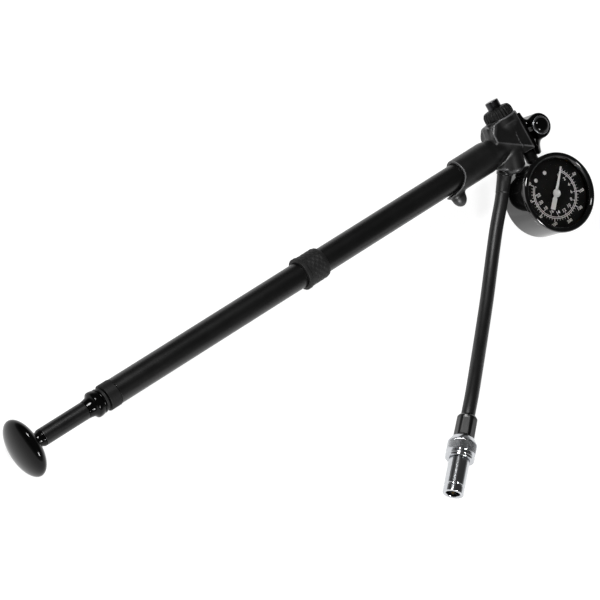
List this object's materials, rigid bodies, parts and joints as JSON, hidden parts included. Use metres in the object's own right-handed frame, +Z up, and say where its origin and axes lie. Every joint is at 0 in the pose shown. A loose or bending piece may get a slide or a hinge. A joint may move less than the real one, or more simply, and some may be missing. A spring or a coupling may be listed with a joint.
{
  "type": "shock suspension pump",
  "caption": "Hand pump for air forks and shocks: slim black barrel with palm knob, side gauge, bleed button and a hose with a chrome chuck.",
  "frame": {"origin": "centre of the pump's footprint on the table, measured without the hose and its chuck", "axes": "+X along the barrel from the palm knob to the head, +Z up from the table, -Y the side where the gauge and hose lie"},
  "size_m": [0.4114, 0.1878, 0.0523],
  "materials": {
    "gloss_black_plastic": "moulded, polished",
    "black_anodised": "satin black anodised tube",
    "black_casting": "matte black coated casting",
    "black_plastic": "moulded, fine grain",
    "black_rubber": "moulded",
    "hose_rubber": "smooth reinforced hose",
    "chrome_plate": "chrome plated brass",
    "steel": "ground steel",
    "brass": "turned brass",
    "dial_face": "black printed plate",
    "needle_white": "white lacquer",
    "bush_plastic": "acetal",
    "lens": "clear"
  },
  "bodies": {
    "pump_body": {"end_collar": "black_plastic", "rod_wiper": "black_rubber", "guide_bush": "bush_plastic", "barrel": "black_anodised", "grip_band": "black_rubber", "head_body": "black_casting", "check_valve_seat": "brass", "seat_o_ring": "black_rubber", "check_valve_cup": "black_rubber", "bleed_cap": "black_plastic", "bleed_seat": "brass", "bleed_spring": "steel", "end_cap": "gloss_black_plastic", "cap_screw": "gloss_black_plastic", "cap_washer": "steel", "cap_nut": "steel", "gauge_case": "gloss_black_plastic", "gauge_bezel": "gloss_black_plastic", "gauge_lens": "lens", "gauge_dial": "dial_face", "movement_frame": "brass", "bourdon_tube": "brass", "gauge_stem": "black_anodised", "hose_fitting": "black_anodised", "hose": "hose_rubber", "hose_ferrule": "black_anodised"},
    "handle": {"palm_knob": "gloss_black_plastic", "handle_stem": "black_anodised", "handle_bell": "gloss_black_plastic", "stop_ring": "gloss_black_plastic", "bumper_washer": "black_rubber", "piston_rod": "steel", "piston_head": "brass", "piston_seal": "black_rubber", "piston_nut": "steel"},
    "bleed_button": {"bleed_button": "black_anodised", "bleed_poppet": "black_rubber"},
    "needle": {"gauge_needle": "needle_white", "needle_hub": "needle_white", "needle_shaft": "steel"},
    "sector": {"movement_sector": "brass"},
    "chuck": {"knurled_collar": "chrome_plate", "chuck_sleeve": "chrome_plate", "chuck_seal": "black_rubber", "chuck_pin": "brass"}
  },
  "joints": [
    {"name": "handle_slide", "type": "slide", "parent": "pump_body", "child": "handle", "axis": [-0.9989, 0, -0.0471], "range_m": [0, 0.195]},
    {"name": "bleed_press", "type": "slide", "parent": "pump_body", "child": "bleed_button", "axis": [0.0179, -0.9252, -0.379], "range_m": [0, 0.0015], "stiffness_N_per_m": 300, "springref_m": -0.002, "deforming": ["bleed_spring"]},
    {"name": "sector_turn", "type": "hinge", "parent": "pump_body", "child": "sector", "pos_m": [0.18098, -0.03177, 0.01936], "axis": [-0.0436, -0.3795, 0.9242], "range_deg": [0, 30], "stiffness_Nm_per_rad": 0.002},
    {"name": "needle_turn", "type": "hinge", "parent": "pump_body", "child": "needle", "pos_m": [0.18057, -0.02126, 0.02799], "axis": [0.0436, 0.3795, -0.9242], "range_deg": [0, 270]},
    {"name": "chuck_swivel", "type": "hinge", "parent": "pump_body", "child": "chuck", "pos_m": [0.0248, -0.1179, 0.0093], "axis": [-0.7609, -0.643, -0.0872], "continuous": true}
  ],
  "couplings": [
    {"joint": "needle_turn", "follows": "sector_turn", "ratio": 9}
  ]
}
